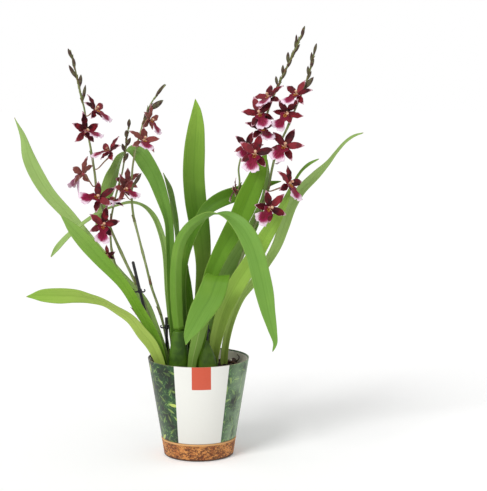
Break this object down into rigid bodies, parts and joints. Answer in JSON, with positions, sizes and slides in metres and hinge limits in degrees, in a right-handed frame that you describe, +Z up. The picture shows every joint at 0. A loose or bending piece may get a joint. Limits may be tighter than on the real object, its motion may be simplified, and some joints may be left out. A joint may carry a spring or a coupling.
{
  "type": "potted cambria orchid",
  "caption": "Potted cambria orchid: tapered pot in a printed paper sleeve with a cork-look foot band, bark, strap leaves, staked flower spikes with starry blooms.",
  "frame": {"origin": "middle of the pot's flat underside", "axes": "+Z up through the pot, -Y to the front where the sleeve's pale panel is, +X to the right seen from the front"},
  "size_m": [0.4206, 0.1319, 0.5091],
  "materials": {
    "pot": "matte taupe plastic",
    "sleeve": "satin printed paper",
    "cork": "matte, printed with a cork grain",
    "bark": "rough dark bark chips",
    "pseudobulb": "smooth living tissue, satin",
    "leaf": "smooth living leaf, satin",
    "young_leaf": "smooth young leaf, satin",
    "stem": "smooth living stem, satin",
    "stake": "black plastic, semi-gloss",
    "petal": "velvety living petal"
  },
  "bodies": {
    "root": {"pot": "pot", "printed_sleeve": "sleeve", "cork_band": "cork", "bark": "bark", "pseudobulb_left": "pseudobulb", "pseudobulb_right": "pseudobulb", "leaf_far_left": "leaf", "leaf_left": "leaf", "leaf_low_left": "leaf", "leaf_arching": "leaf", "leaf_thin_arch": "leaf", "leaf_back_thin": "leaf", "leaf_upright": "leaf", "leaf_inner_arch": "leaf", "leaf_short": "leaf", "leaf_front_arch": "leaf", "leaf_broad_right": "leaf", "leaf_narrow_right": "leaf", "leaf_young": "young_leaf", "leaf_far_right": "leaf", "leaf_front_droop": "leaf", "spike_left": "stem", "spike_middle": "stem", "spike_short": "stem", "spike_right": "stem", "spike_far_right": "stem", "spike_back": "stem", "stake_left": "stake", "stake_short": "stake", "stake_middle": "stake", "stake_front": "stake", "bloom_left_1": "petal", "bloom_left_2": "petal", "bloom_left_3": "petal", "bloom_left_4": "petal", "bloom_left_5": "petal", "bloom_left_6": "petal", "bloom_left_7": "petal", "bloom_middle_1": "petal", "bloom_middle_2": "petal", "bloom_middle_3": "petal", "bloom_middle_4": "petal", "bloom_middle_5": "petal", "bloom_right_1": "petal", "bloom_right_2": "petal", "bloom_right_3": "petal", "bloom_right_4": "petal", "bloom_right_5": "petal", "bloom_right_6": "petal", "bloom_far_right_1": "petal", "bloom_far_right_2": "petal", "bloom_far_right_3": "petal", "bloom_far_right_4": "petal", "bloom_far_right_5": "petal"}
  },
  "joints": []
}
